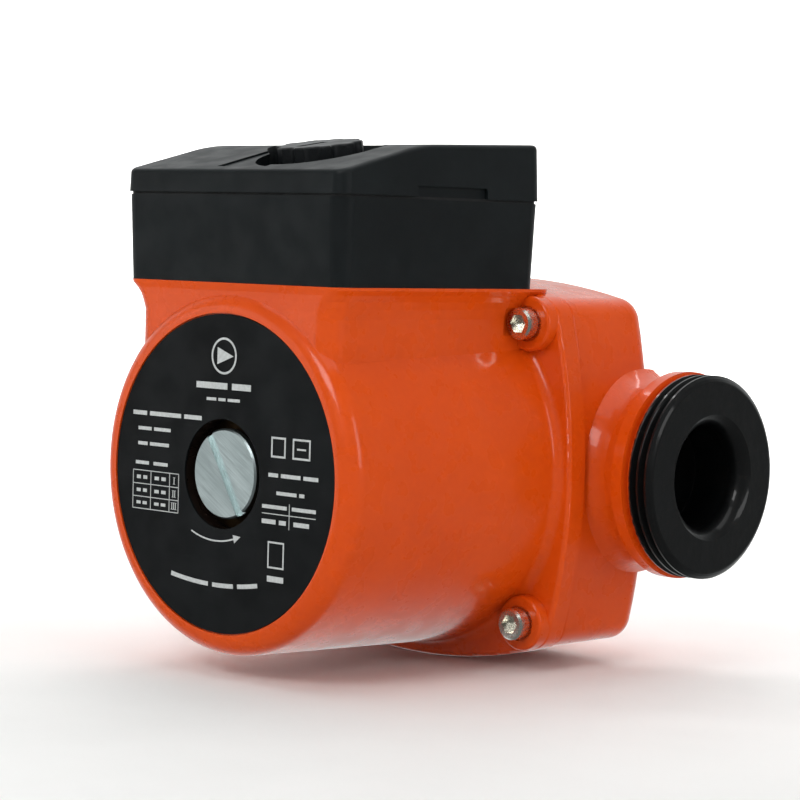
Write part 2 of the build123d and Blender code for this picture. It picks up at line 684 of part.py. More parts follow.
def terminal_box():
    """Lower half of the terminal box, with the cable spout and the screw pillar."""
    height = BOX_TOP_Z - SADDLE_TOP_Z
    floor_z = SADDLE_TOP_Z + WALL
    box = extrude(box_plan(SADDLE_TOP_Z), height, taper=-DRAFT)
    box -= extrude(box_plan(floor_z, -WALL), height, taper=-DRAFT)
    box += rod_z(PILLAR_R, SADDLE_TOP_Z + 1, BOX_TOP_Z, 0, PILLAR_Y)
    box += rod_x(SPOUT_R, -44, -33.5, SPOUT_Y, SPOUT_Z)
    box -= rod_x(SPOUT_BORE_R, -50, -30, SPOUT_Y, SPOUT_Z)
    box -= rod_z(1.5, floor_z + 4, BOX_TOP_Z + 1, 0, PILLAR_Y)
    box -= passage(SADDLE_TOP_Z - 1, floor_z + 1)
    box -= seal_plate()
    for x, y in box_screw_places():
        box -= rod_z(BOX_SCREW_HOLE_R, SADDLE_TOP_Z - 1, floor_z + 1, x, y)
    box -= rod_z(BOX_SCREW_HOLE_R, SADDLE_TOP_Z - 1, floor_z + 1, *EARTH_AT)
    return box


def seal_plate():
    """Outline of the seal round the lead passage, one millimetre thick."""
    return block(-12, 12, PASSAGE_Y - 5.5, PASSAGE_Y + 7, SADDLE_TOP_Z, SADDLE_TOP_Z + 1)


def box_seal():
    """Rubber seal round the lead passage."""
    return seal_plate() - passage(SADDLE_TOP_Z - 1, SADDLE_TOP_Z + 2)


def pan_screw(head_r, head_high, shank_r, length):
    """Pan head screw with a cross slot, its seat on the XY plane and its shank down."""
    head = Pos(0, 0, head_high / 2) * Cylinder(head_r, head_high)
    head = fillet(head.edges().group_by(Axis.Z)[-1], 0.35 * head_high)
    screw = head + Pos(0, 0, -length / 2) * Cylinder(shank_r, length)
    cross = Box(1.3 * head_r, 0.9, head_high) + Box(0.9, 1.3 * head_r, head_high)
    return screw - Pos(0, 0, head_high) * cross


def box_screws():
    """Four screws from the box floor into the saddle."""
    seat = SADDLE_TOP_Z + WALL
    return Compound(children=[Pos(x, y, seat) * pan_screw(3.6, 2.4, 1.9, 9) for x, y in box_screw_places()])


def earth_screw():
    """Earth screw with its cup washer."""
    seat = SADDLE_TOP_Z + WALL
    washer = Pos(*EARTH_AT, seat + 0.5) * Cylinder(4.6, 1.0)
    return washer + Pos(*EARTH_AT, seat + 1.0) * pan_screw(3.6, 2.4, 1.9, 9)


def speed_switch():
    """Rotary speed switch; its spindle leans with the knob."""
    base_z = SADDLE_TOP_Z + WALL
    body = block(-13.5, 13.5, WELL_Y - 12, WELL_Y + 12, base_z, SWITCH_TOP_Z)
    body = fillet(body.edges().filter_by(Axis.Z), 1.5)
    body += rod_z(15.8, SWITCH_TOP_Z, SWITCH_RING_Z, 0, WELL_Y)
    body -= knob_frame() * Cylinder(SPINDLE_R + 0.05, 16)
    for side in (-1, 1):
        for y in (-73.0, -65.0, -57.0):
            body += Pos(side * 15.2, y, 49.5) * Box(3.6, 4.5, 0.8)
    return body


def knob_frame():
    """Frame of the knob: its Z axis is the knob's turning axis."""
    return Pos(*KNOB_FOOT) * Rot(X=KNOB_TILT)


def switch_spindle():
    """Spindle that the knob is pushed onto."""
    return knob_frame() * Pos(0, 0, 3.4) * Cylinder(SPINDLE_R, 20.8)


def speed_knob():
    """Fluted knob with a pointer slot."""
    height = KNOB_TOP - KNOB_BOTTOM
    knob = Pos(0, 0, KNOB_BOTTOM + height / 2) * Cylinder(KNOB_R, height)
    flute = Pos(KNOB_R + 1.3, 0, KNOB_BOTTOM + height / 2) * Cylinder(2.5, height)
    for k in range(FLUTES):
        knob -= Rot(Z=360 / FLUTES * (k + 0.5)) * flute
    knob = fillet(knob.edges().group_by(Axis.Z)[-1], 0.5)
    knob -= Pos(0, 0, KNOB_BOTTOM + 4.1) * Cylinder(SPINDLE_R, 8.2)
    hollow = Cylinder(7.2, 6) - Cylinder(4.8, 6)
    knob -= Pos(0, 0, KNOB_BOTTOM + 3) * hollow
    knob -= Pos(0, -2.2, KNOB_TOP) * Box(2.0, 9.0, 1.6)
    return knob_frame() * knob


def knob_seal():
    """Foam ring between the switch and the cover's well."""
    return rod_z(15.6, SWITCH_RING_Z, 62.4, 0, WELL_Y) - rod_z(13.2, 60, 63, 0, WELL_Y)


def capacitor():
    """Run capacitor: a moulded block with rounded edges."""
    body = block(-31, -6, -47, -35, SADDLE_TOP_Z + WALL, 61)
    return fillet(body.edges(), 1.2)


def terminal_block():
    """Three-way terminal block with wire entries and screw wells."""
    floor_z = SADDLE_TOP_Z + WALL
    body = block(8, 31, -47, -36, floor_z, 57)
    for x in TERMINALS:
        body -= rod_z(2.4, 51, 58, x, -41.5)
        body -= rod_y(1.6, -48, -35, x, floor_z + 4)
    return body


def terminal_screws():
    """Clamping screws in the terminal block's wells."""
    return Compound(children=[Pos(x, -41.5, 51) * slotted_stub(2.2, 3.0) for x in TERMINALS])


def slotted_stub(radius, height):
    """Headless screw with a slot, standing on the XY plane."""
    return Pos(0, 0, height / 2) * Cylinder(radius, height) - Pos(0, 0, height) * Box(2.5 * radius, 0.7, 1.6)


def lead(points, radius, bend):
    """Insulated wire along straight runs joined by arcs."""
    path = FilletPolyline(*points, radius=bend)
    section = Plane(origin=path @ 0, z_dir=path % 0) * Circle(radius)
    return sweep(section, path=path)


def motor_leads():
    """Three leads from the winding, up the passage and round to the terminal block."""
    wires = []
    for k, x in enumerate(TERMINALS):
        up = -5.0 + 5.0 * k
        side = 21.4 + 2.6 * k
        height = 49.4 + 2.2 * (2 - k)
        end_z = SADDLE_TOP_Z + WALL + 4
        points = [(up, PASSAGE_Y, 34.4), (up, PASSAGE_Y, height), (side, PASSAGE_Y, height)]
        points += [(side, -54, height), (x, -51.5, end_z), (x, -47.2, end_z)]
        wires.append(lead(points, 1.0, 1.8))
    return Compound(children=wires)


def gland_seal():
    """Rubber sleeve that grips the cable."""
    outer = rod_x(SPOUT_BORE_R - 0.1, *SLEEVE_X, SPOUT_Y, SPOUT_Z)
    return outer - rod_x(CABLE_R, -45, -35, SPOUT_Y, SPOUT_Z)


def gland_washer():
    """Slip ring between the seal and the nut."""
    front = SLEEVE_X[0]
    outer = rod_x(SPOUT_BORE_R - 0.1, front - 1, front, SPOUT_Y, SPOUT_Z)
    return outer - rod_x(CABLE_R + 0.2, -46, -43, SPOUT_Y, SPOUT_Z)


def gland_nut():
    """Ribbed cap nut on the cable spout."""
    nut = rod_x(NUT_R, *NUT_X, SPOUT_Y, SPOUT_Z)
    nut = fillet(nut.edges().group_by(Axis.X)[0], 1.2)
    rib = rod_x(0.9, -46, NUT_X[1], 0, NUT_R - 0.2)
    for k in range(NUT_RIBS):
        nut += Pos(0, SPOUT_Y, SPOUT_Z) * Rot(X=360 / NUT_RIBS * k) * rib
    nut -= rod_x(8.1, -44.8, -38, SPOUT_Y, SPOUT_Z)
    return nut - rod_x(CABLE_R + 0.4, -48, -44, SPOUT_Y, SPOUT_Z)


# ---- cover ----
def under_lid_line(drop):
    """Everything below the lid's top line, lowered by drop."""
    lean = (LID_BEND[1] - LID_FRONT[1]) / (LID_BEND[0] - LID_FRONT[0])
    far_front = (-100.0, LID_FRONT[1] + lean * (-100.0 - LID_FRONT[0]) - drop)
    rise = (LID_REAR[1] - LID_BEND[1]) / (LID_REAR[0] - LID_BEND[0])
    far_back = (-20.0, LID_REAR[1] + rise * (-20.0 - LID_REAR[0]) - drop)
    bend = (LID_BEND[0], LID_BEND[1] - drop)
    shape = make_face(Polyline(far_front, bend, far_back, (-20.0, 50.0), (-100.0, 50.0), close=True))
    corner = [v for v in shape.vertices() if abs(v.X - LID_BEND[0]) < 0.01]
    shape = fillet(corner, LID_BEND_R)
    return extrude(Plane.YZ.offset(-50) * shape, 100)


def lid_outside():
    """Solid outer shape of the cover, with its top edges rounded."""
    solid = extrude(box_plan(LID_FOOT_Z), 16, taper=DRAFT) & under_lid_line(0)
    top = [face for face in solid.faces() if face.normal_at().Z > 0.7]
    sides = [face for face in solid.faces() if abs(face.normal_at().Z) < 0.7]
    rim = [e for face in top for e in face.edges() if any(e.is_same(f) for side in sides for f in side.edges())]
    return fillet(rim, LID_EDGE_R)


def legend_panel():
    """Shallow sunk panel on the slope in front of the well."""
    return block(-8, 8, LID_FRONT[0] + 3.5, WELL_Y, LID_FOOT_Z, 80) - under_lid_line(0.45)


def latch_slot():
    """Slot for a screwdriver at the foot of the cover's right side."""
    side = BOX_WIDTH / 2 + math.tan(math.radians(DRAFT)) * (LID_FOOT_Z - SADDLE_TOP_Z)
    return block(side - 1.0, side + 1, -72.0, -49.0, LID_FOOT_Z - 1, LID_FOOT_Z + 2.4)


def scoop(grow, low):
    """Finger recess beside the knob's well, from a height upwards."""
    return rod_z(SCOOP_R + grow, low, 80, *SCOOP_AT)


def terminal_cover():
    """Cover of the terminal box with the round well for the knob and the finger recess."""
    cover = lid_outside() - legend_panel() - latch_slot()
    inside = extrude(box_plan(LID_FOOT_Z - 0.01, -WALL), 16, taper=DRAFT) & under_lid_line(WALL)
    inside -= rod_z(WELL_R + WELL_WALL, 60, 80, 0, WELL_Y) + rod_z(5.4, 68, 80, 0, PILLAR_Y)
    inside -= scoop(WELL_WALL, SCOOP_FLOOR_Z - WELL_WALL)
    cover -= inside
    cover += rod_z(WELL_R + WELL_WALL, 62.5, SCOOP_FLOOR_Z, 0, WELL_Y)
    cover -= rod_z(WELL_R, 62, 80, 0, WELL_Y) + scoop(0, SCOOP_FLOOR_Z)
    cover -= rod_z(1.7, 60, 80, 0, PILLAR_Y) + rod_z(3.9, COVER_SCREW_Z, 80, 0, PILLAR_Y)
    return cover


def cover_gasket():
    """Seal in the joint between the box and its cover."""
    outer = extrude(box_plan(BOX_TOP_Z, -0.7), LID_FOOT_Z - BOX_TOP_Z)
    return outer - extrude(box_plan(BOX_TOP_Z, -1.7), LID_FOOT_Z - BOX_TOP_Z)


def cover_screw():
    """Captive screw at the rear of the cover."""
    return Pos(0, PILLAR_Y, COVER_SCREW_Z) * pan_screw(3.4, 2.2, 1.45, 20)


NODES = {
    "pump_housing": pump_housing,
    "neck_ring": neck_ring,
    "housing_gasket": housing_gasket,
    "bearing_plate": bearing_plate,
    "rear_bearing": lambda: sleeve_bearing(*REAR_BEARING_Y),
    "front_bearing": lambda: sleeve_bearing(*FRONT_BEARING_Y),
    "front_bearing_holder": front_bearing_holder,
    "rotor_can": rotor_can,
    "vent_boss": vent_boss,
    "can_o_ring": can_o_ring,
    "shaft": shaft,
    "rotor_core": rotor_core,
    "rotor_cage": rotor_cage,
    "rotor_sleeve": rotor_sleeve,
    "thrust_holder": thrust_holder,
    "thrust_bearing": thrust_bearing,
    "impeller": impeller,
    "impeller_shroud": impeller_shroud,
    "impeller_clip": impeller_clip,
    "stator_core": stator_core,
    "stator_winding": stator_winding,
    "stator_housing": stator_housing,
    "flange_screws": flange_screws,
    "nameplate": nameplate,
    "vent_screw": vent_screw,
    "vent_o_ring": vent_o_ring,
    "terminal_box": terminal_box,
    "box_seal": box_seal,
    "box_screws": box_screws,
    "earth_screw": earth_screw,
    "speed_switch": speed_switch,
    "switch_spindle": switch_spindle,
    "speed_knob": speed_knob,
    "knob_seal": knob_seal,
    "capacitor": capacitor,
    "terminal_block": terminal_block,
    "terminal_screws": terminal_screws,
    "motor_leads": motor_leads,
    "gland_seal": gland_seal,
    "gland_washer": gland_washer,
    "gland_nut": gland_nut,
    "terminal_cover": terminal_cover,
    "cover_gasket": cover_gasket,
    "cover_screw": cover_screw,
}

if __name__ == "__main__":
    os.makedirs("parts", exist_ok=True)
    for node, make in NODES.items():
        export_step(make(), f"parts/{node}.step")
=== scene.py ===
"""Looks of the circulator pump: painted castings, moulded plastic, label print, studio and camera."""

import json
import math

import bmesh
import bpy
from mathutils import Matrix, Vector


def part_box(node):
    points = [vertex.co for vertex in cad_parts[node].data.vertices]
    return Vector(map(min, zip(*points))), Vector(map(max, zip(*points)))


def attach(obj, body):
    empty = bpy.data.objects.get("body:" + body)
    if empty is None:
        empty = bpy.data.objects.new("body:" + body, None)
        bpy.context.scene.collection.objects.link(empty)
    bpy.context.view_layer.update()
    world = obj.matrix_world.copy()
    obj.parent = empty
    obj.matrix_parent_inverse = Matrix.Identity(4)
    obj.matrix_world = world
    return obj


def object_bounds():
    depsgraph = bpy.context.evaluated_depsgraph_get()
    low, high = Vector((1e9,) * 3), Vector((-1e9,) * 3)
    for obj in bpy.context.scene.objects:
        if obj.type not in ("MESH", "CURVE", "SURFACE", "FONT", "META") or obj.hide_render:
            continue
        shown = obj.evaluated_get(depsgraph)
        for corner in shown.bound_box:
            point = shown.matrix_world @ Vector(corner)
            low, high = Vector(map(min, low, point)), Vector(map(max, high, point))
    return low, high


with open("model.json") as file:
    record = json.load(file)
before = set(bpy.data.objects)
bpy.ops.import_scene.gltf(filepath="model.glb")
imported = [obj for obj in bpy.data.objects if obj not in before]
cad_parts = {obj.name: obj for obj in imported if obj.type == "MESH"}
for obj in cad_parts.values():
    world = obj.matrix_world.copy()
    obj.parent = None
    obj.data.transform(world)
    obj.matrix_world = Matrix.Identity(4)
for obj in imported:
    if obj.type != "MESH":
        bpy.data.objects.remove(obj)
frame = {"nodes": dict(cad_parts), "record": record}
cad_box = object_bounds()
nodes = frame["nodes"]

MM = 0.001

# ---- sizes taken from the frame ----
LABEL_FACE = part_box("nameplate")[0].y
PORT_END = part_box("pump_housing")[1].x
COATED_LENGTH = 6.0 * MM   # the ports are coated black over this length
BORE_R = 16.0 * MM         # everything inside this radius of the pipe axis is water way
SUCTION_Y = 7 * MM   # the left port's water way swings back by this much

# ---- colours, as screen values ----
ORANGE = (216, 76, 8)
ORANGE_DEEP = (209, 71, 7)
ORANGE_PALE = (224, 88, 16)
# painted shade: the dark colour of the hole round the vent plug
VENT_WELL_SHADE = (30, 22, 18)
COATING = (9, 11, 12)
COATING_RUST = (52, 36, 26)
BOX_BLACK = (13, 18, 20)
BOX_DRIFT = (18, 24, 26)
LABEL_BLACK = (10, 13, 15)
LABEL_DRIFT = (14, 18, 20)
PRINT = (196, 200, 200)
ZINC = (244, 242, 232)
ZINC_DRIFT = (226, 224, 214)
# painted shade: darkened brass for the boss in the recess behind the vent plug
BRASS_SHADED = (74, 56, 34)
BRASS_SHADED_DEEP = (44, 34, 24)


def srgb(red, green, blue):
    """Linear colour with alpha from screen values."""
    linear = [((c / 255 + 0.055) / 1.055) ** 2.4 if c > 10 else c / 255 / 12.92 for c in (red, green, blue)]
    return (*linear, 1.0)


# ---- building materials ----
class Finish:
    """A material under construction: a Principled shader and short ways to feed it."""

    def __init__(self, name, **values):
        self.material = bpy.data.materials.new(name)
        self.material.use_nodes = True
        self.tree = self.material.node_tree
        self.tree.nodes.clear()
        self.shader = self.add("ShaderNodeBsdfPrincipled")
        output = self.add("ShaderNodeOutputMaterial")
        self.tree.links.new(self.shader.outputs["BSDF"], output.inputs["Surface"])
        self.place = self.add("ShaderNodeTexCoord").outputs["Object"]
        for socket, value in values.items():
            self.shader.inputs[socket.replace("_", " ")].default_value = value

    def add(self, kind, **settings):
        node = self.tree.nodes.new(kind)
        for key, value in settings.items():
            setattr(node, key, value)
        return node

    def feed(self, socket, value):
        """Link an output, or set a plain value."""
        if isinstance(value, bpy.types.NodeSocket):
            self.tree.links.new(value, socket)
        else:
            socket.default_value = value

    def math(self, operation, *values):
        node = self.add("ShaderNodeMath", operation=operation)
        for socket, value in zip(node.inputs, values):
            self.feed(socket, value)
        return node.outputs[0]

    def noise(self, size, detail=3.0, stretch=(1, 1, 1), place=None):
        """Noise with features of about this size in metres, drawn out along the axes by stretch."""
        scale = self.add("ShaderNodeMapping")
        scale.inputs["Scale"].default_value = [1 / (size * s) for s in stretch]
        self.tree.links.new(place or self.place, scale.inputs["Vector"])
        node = self.add("ShaderNodeTexNoise")
        node.inputs["Scale"].default_value = 1.0
        node.inputs["Detail"].default_value = detail
        self.tree.links.new(scale.outputs["Vector"], node.inputs["Vector"])
        return node.outputs["Fac"]

    def spread(self, value, low, high, start=0.3, end=0.7):
        """Value between start and end, mapped to low and high."""
        node = self.add("ShaderNodeMapRange", interpolation_type="SMOOTHSTEP")
        for key, number in (("From Min", start), ("From Max", end), ("To Min", low), ("To Max", high)):
            node.inputs[key].default_value = number
        self.feed(node.inputs["Value"], value)
        return node.outputs["Result"]

    def mix(self, factor, first, second):
        """Colour between the first and the second."""
        node = self.add("ShaderNodeMix", data_type="RGBA")
        self.feed(node.inputs["Factor"], factor)
        self.feed(node.inputs[6], first)
        self.feed(node.inputs[7], second)
        return node.outputs[2]

    def axis(self, name):
        """One coordinate of the place, in metres."""
        node = self.add("ShaderNodeSeparateXYZ")
        self.tree.links.new(self.place, node.inputs[0])
        return node.outputs[name]

    def within(self, radius, aside=0.0):
        """One inside this distance of a line along the pipe, aside from its axis by this much."""
        sideways = self.math("POWER", self.math("SUBTRACT", self.axis("Y"), aside), 2)
        upwards = self.math("POWER", self.axis("Z"), 2)
        away = self.math("SQRT", self.math("ADD", sideways, upwards))
        return self.spread(away, 1, 0, radius - 0.3 * MM, radius + 0.3 * MM)

    def bump(self, *layers):
        """Bump from (height, depth in metres) layers."""
        normal = None
        for height, depth in layers:
            node = self.add("ShaderNodeBump")
            node.inputs["Strength"].default_value = 1.0
            node.inputs["Distance"].default_value = depth
            self.feed(node.inputs["Height"], height)
            if normal:
                self.tree.links.new(normal, node.inputs["Normal"])
            normal = node.outputs["Normal"]
        self.tree.links.new(normal, self.shader.inputs["Normal"])

    def colour(self, value):
        self.feed(self.shader.inputs["Base Color"], value)

    def roughness(self, value):
        self.feed(self.shader.inputs["Roughness"], value)


def port_coating(f, coated_from):
    """One on the coated ports and inside the water ways, nought on the painted outside."""
    x = f.axis("X")
    along = f.math("ABSOLUTE", x)
    ragged = f.math("MULTIPLY_ADD", f.noise(1.4 * MM, 5), 1.1 * MM, along)
    outside = f.spread(ragged, 0, 1, coated_from, coated_from + 0.9 * MM)
    bore = f.math("MULTIPLY", f.within(BORE_R), f.spread(along, 0, 1, 26 * MM, 30 * MM))
    bend = f.math("MULTIPLY", f.spread(x, 1, 0, -4 * MM, 0.0), f.spread(x, 0, 1, -44 * MM, -43 * MM))
    bend = f.math("MULTIPLY", bend, f.within(13.8 * MM, SUCTION_Y))
    return f.math("MAXIMUM", outside, f.math("MAXIMUM", bore, bend))


def vent_well_shade(f):
    """One in the hole round the vent plug, where the orange wall is coloured dark as painted shade."""
    across = f.math("ADD", f.math("POWER", f.axis("X"), 2), f.math("POWER", f.axis("Z"), 2))
    return f.spread(f.math("SQRT", across), 1, 0, 14.2 * MM, 14.6 * MM)


def cast_paint(name, lumps, coated_from=None):
    """Glossy orange enamel over a casting; black coating beyond coated_from along the pipe axis."""
    f = Finish(name, Coat_Weight=0.36, Coat_Roughness=0.08, Specular_IOR_Level=0.2)
    broad = f.spread(f.noise(30 * MM, 2), 0, 1)
    fine = f.spread(f.noise(1.3 * MM, 4), 0, 0.16)
    paint = f.mix(broad, srgb(*ORANGE), srgb(*ORANGE_DEEP))
    paint = f.mix(fine, paint, srgb(*ORANGE_PALE))
    rough = f.spread(f.noise(5 * MM, 3), 0.24, 0.36)
    if coated_from:
        mask = port_coating(f, coated_from)
        speck = f.spread(f.noise(0.9 * MM, 5), 0, 0.16, 0.56, 0.72)
        paint = f.mix(mask, paint, f.mix(speck, srgb(*COATING), srgb(*COATING_RUST)))
        rough = f.math("MULTIPLY_ADD", mask, 0.12, rough)
    else:
        # the hole round the vent plug is coloured dark here, as painted shade in the recess
        paint = f.mix(vent_well_shade(f), paint, srgb(*VENT_WELL_SHADE))
    f.colour(paint)
    f.roughness(rough)
    cast_skin = (f.noise(9 * MM, 2), lumps)
    orange_peel = (f.noise(1.8 * MM, 2), 0.035 * MM)
    f.bump(cast_skin, orange_peel, (f.noise(0.35 * MM, 3), 0.006 * MM))
    return f.material


def moulded(name, colour, drift, rough, grain=0.3 * MM, depth=0.014 * MM, **values):
    """Moulded plastic or rubber: slow colour drift, eroded grain, patches of shine."""
    f = Finish(name, **values)
    patch = f.spread(f.noise(14 * MM, 3), 0, 1)
    speck = f.spread(f.noise(0.5 * MM, 4), 0, 0.5)
    base = f.mix(patch, srgb(*colour), srgb(*drift))
    f.colour(f.mix(speck, base, srgb(*[min(255, c * 1.12 + 3) for c in colour])))
    f.roughness(f.spread(f.noise(6 * MM, 4), rough - 0.05, rough + 0.07))
    f.bump((f.noise(12 * MM, 1), 0.05 * MM), (f.noise(grain, 4), depth))
    return f.material


def metal(name, colour, drift, rough, grain=(1, 1, 1), size=0.4 * MM, depth=0.01 * MM, contrast=0.6):
    """Bare metal with a lay: grain draws the noise out along the machining marks."""
    f = Finish(name, Metallic=1.0)
    lay = f.noise(size, 5, grain)
    patch = f.spread(f.noise(4 * MM, 4), 0, 1)
    base = f.mix(patch, srgb(*colour), srgb(*drift))
    f.colour(f.mix(f.spread(lay, 0, contrast), base, srgb(*[c * 0.72 for c in colour])))
    f.roughness(f.spread(lay, rough - 0.08, rough + 0.14))
    f.bump((lay, depth), (f.noise(3 * MM, 2), 0.02 * MM))
    return f.material


def brushed_face(name, turn):
    """Steel plug face with straight brush marks at an angle to the horizontal."""
    f = Finish(name, Metallic=1.0)
    turned = f.add("ShaderNodeMapping")
    turned.inputs["Rotation"].default_value = (0, math.radians(turn), 0)
    f.tree.links.new(f.place, turned.inputs["Vector"])
    lay = f.noise(0.12 * MM, 3, (60, 1, 1), turned.outputs["Vector"])
    broad = f.noise(5 * MM, 3, (3, 1, 1), turned.outputs["Vector"])
    base = f.mix(f.spread(broad, 0, 1), srgb(212, 226, 226), srgb(188, 202, 202))
    f.colour(f.mix(f.spread(lay, 0, 0.3, 0.3, 0.7), base, srgb(146, 158, 159)))
    f.roughness(f.spread(lay, 0.3, 0.42))
    f.bump((lay, 0.004 * MM), (f.noise(2.5 * MM, 2), 0.02 * MM))
    return f.material


def wound_copper(name):
    """Enamelled wire, wound round the stator's teeth."""
    f = Finish(name, Metallic=0.85, Coat_Weight=0.6, Coat_Roughness=0.15)
    wires = f.add("ShaderNodeTexWave", wave_type="RINGS", rings_direction="Y")
    wires.inputs["Scale"].default_value = 1 / (1.6 * MM)
    wires.inputs["Distortion"].default_value = 0.6
    f.tree.links.new(f.place, wires.inputs["Vector"])
    f.colour(f.mix(wires.outputs["Fac"], srgb(96, 38, 16), srgb(206, 112, 58)))
    f.roughness(f.spread(f.noise(2 * MM, 3), 0.2, 0.4))
    f.bump((wires.outputs["Fac"], 0.16 * MM))
    return f.material


def stacked_sheets(name):
    """Edges of punched steel sheets stacked along the motor axis."""
    f = Finish(name, Metallic=0.9)
    sheet = f.noise(0.5 * MM, 1, (60, 1, 60))
    rust = f.spread(f.noise(3 * MM, 5), 0, 0.5, 0.55, 0.8)
    f.colour(f.mix(rust, f.mix(sheet, srgb(84, 86, 92), srgb(132, 134, 138)), srgb(112, 78, 56)))
    f.roughness(f.spread(sheet, 0.35, 0.6))
    f.bump((sheet, 0.08 * MM))
    return f.material


def label_film(name):
    """Printed polycarbonate film: fine matte grain and faint scuffs."""
    f = Finish(name, Specular_IOR_Level=0.2)
    scuff = f.spread(f.noise(1.0 * MM, 5, (7, 1, 1)), 0, 0.28, 0.58, 0.8)
    base = f.mix(f.spread(f.noise(18 * MM, 2), 0, 1), srgb(*LABEL_BLACK), srgb(*LABEL_DRIFT))
    f.colour(f.mix(scuff, base, srgb(32, 36, 38)))
    f.roughness(f.spread(f.noise(7 * MM, 4), 0.42, 0.56))
    f.bump((f.noise(16 * MM, 1), 0.04 * MM), (f.noise(0.25 * MM, 3), 0.006 * MM))
    return f.material


def printed_ink(name):
    """Screen-printed pale ink, thinner in places."""
    f = Finish(name)
    thin = f.spread(f.noise(0.8 * MM, 5), 0, 0.35)
    f.colour(f.mix(thin, srgb(*PRINT), srgb(150, 152, 150)))
    f.roughness(f.spread(f.noise(2 * MM, 3), 0.45, 0.6))
    f.bump((f.noise(0.3 * MM, 3), 0.008 * MM))
    return f.material


def make_finishes():
    """One finished material for each of the record's material slots."""
    return {
        "orange_cast_iron": cast_paint("iron_enamel", 0.16 * MM, PORT_END - COATED_LENGTH),
        "orange_aluminium": cast_paint("aluminium_enamel", 0.07 * MM),
        "black_plastic": moulded("box_black", BOX_BLACK, BOX_DRIFT, 0.46, Specular_IOR_Level=0.26),
        "dark_plastic": moulded("dark_moulding", (20, 23, 26), (15, 18, 20), 0.42, Specular_IOR_Level=0.4),
        "grey_plastic": moulded("knob_grey", (52, 58, 59), (44, 49, 51), 0.4),
        "white_plastic": moulded("pale_moulding", (206, 204, 196), (190, 188, 178), 0.45),
        "label": label_film("label_film"),
        "screw_steel": metal("zinc_steel", ZINC, ZINC_DRIFT, 0.24, depth=0.003 * MM, contrast=0.2),
        "vent_steel": brushed_face("vent_steel", 149),
        "stainless": metal("stainless", (190, 192, 192), (160, 163, 164), 0.25, (12, 1, 12), 0.3 * MM),
        "lamination": stacked_sheets("laminations"),
        "cage": metal("cage_aluminium", (196, 198, 200), (170, 172, 174), 0.4, (1, 8, 1), 0.4 * MM),
        "copper": wound_copper("wound_copper"),
        "brass": metal("brass", (196, 158, 84), (162, 124, 60), 0.28, (14, 1, 14), 0.35 * MM),
        "ceramic": moulded("ceramic", (226, 222, 210), (214, 209, 196), 0.2, Coat_Weight=0.4),
        "carbon": moulded("carbon", (38, 38, 40), (28, 28, 30), 0.35),
        "rubber": moulded("rubber", (24, 24, 25), (32, 32, 33), 0.62, 0.5 * MM, 0.03 * MM),
        "impeller": moulded("impeller_plastic", (62, 62, 58), (52, 52, 48), 0.4),
        "capacitor": moulded("capacitor_case", (214, 212, 204), (200, 197, 188), 0.35),
        "lead": moulded("lead_sleeve", (70, 64, 60), (88, 60, 40), 0.4),
    }


def dress_frame(finishes):
    """Give each CAD node the finish of its slot, and the boss behind the vent plug a darkened brass as
    painted shade in its recess.
    """
    slot_of = {part["node"]: part["material_slot"] for part in frame["record"]["subparts"]}
    for name, obj in nodes.items():
        obj.data.materials.clear()
        obj.data.materials.append(finishes[slot_of[name]])
    # the boss sits in the recess behind the vent plug; its brass is darkened as painted shade
    boss_shade = metal("shaded_brass", BRASS_SHADED, BRASS_SHADED_DEEP, 0.5, (14, 1, 14))
    nodes["vent_boss"].data.materials[0] = boss_shade


# ---- label print ----
INK = 0.04 * MM              # half thickness of the printed film
WORD_ROWS = (   # left, right, foot, head, and the lengths of the dashes
    (-9.0, 9.0, 18.0, 21.6, (5, 3)),
    (-5.5, 5.5, 15.9, 17.6, (4, 3, 5)),
    (-30.6, -7.0, 10.9, 13.4, (4, 9, 5)),
    (-28.7, -17.5, 7.6, 9.6, (4, 5)),
    (-28.7, -18.0, 4.1, 6.1, (3, 6)),
    (15.3, 31.0, 0.0, 2.2, (2, 4, 3)),
    (18.0, 26.8, -3.8, -1.8, (4, 1)),
)


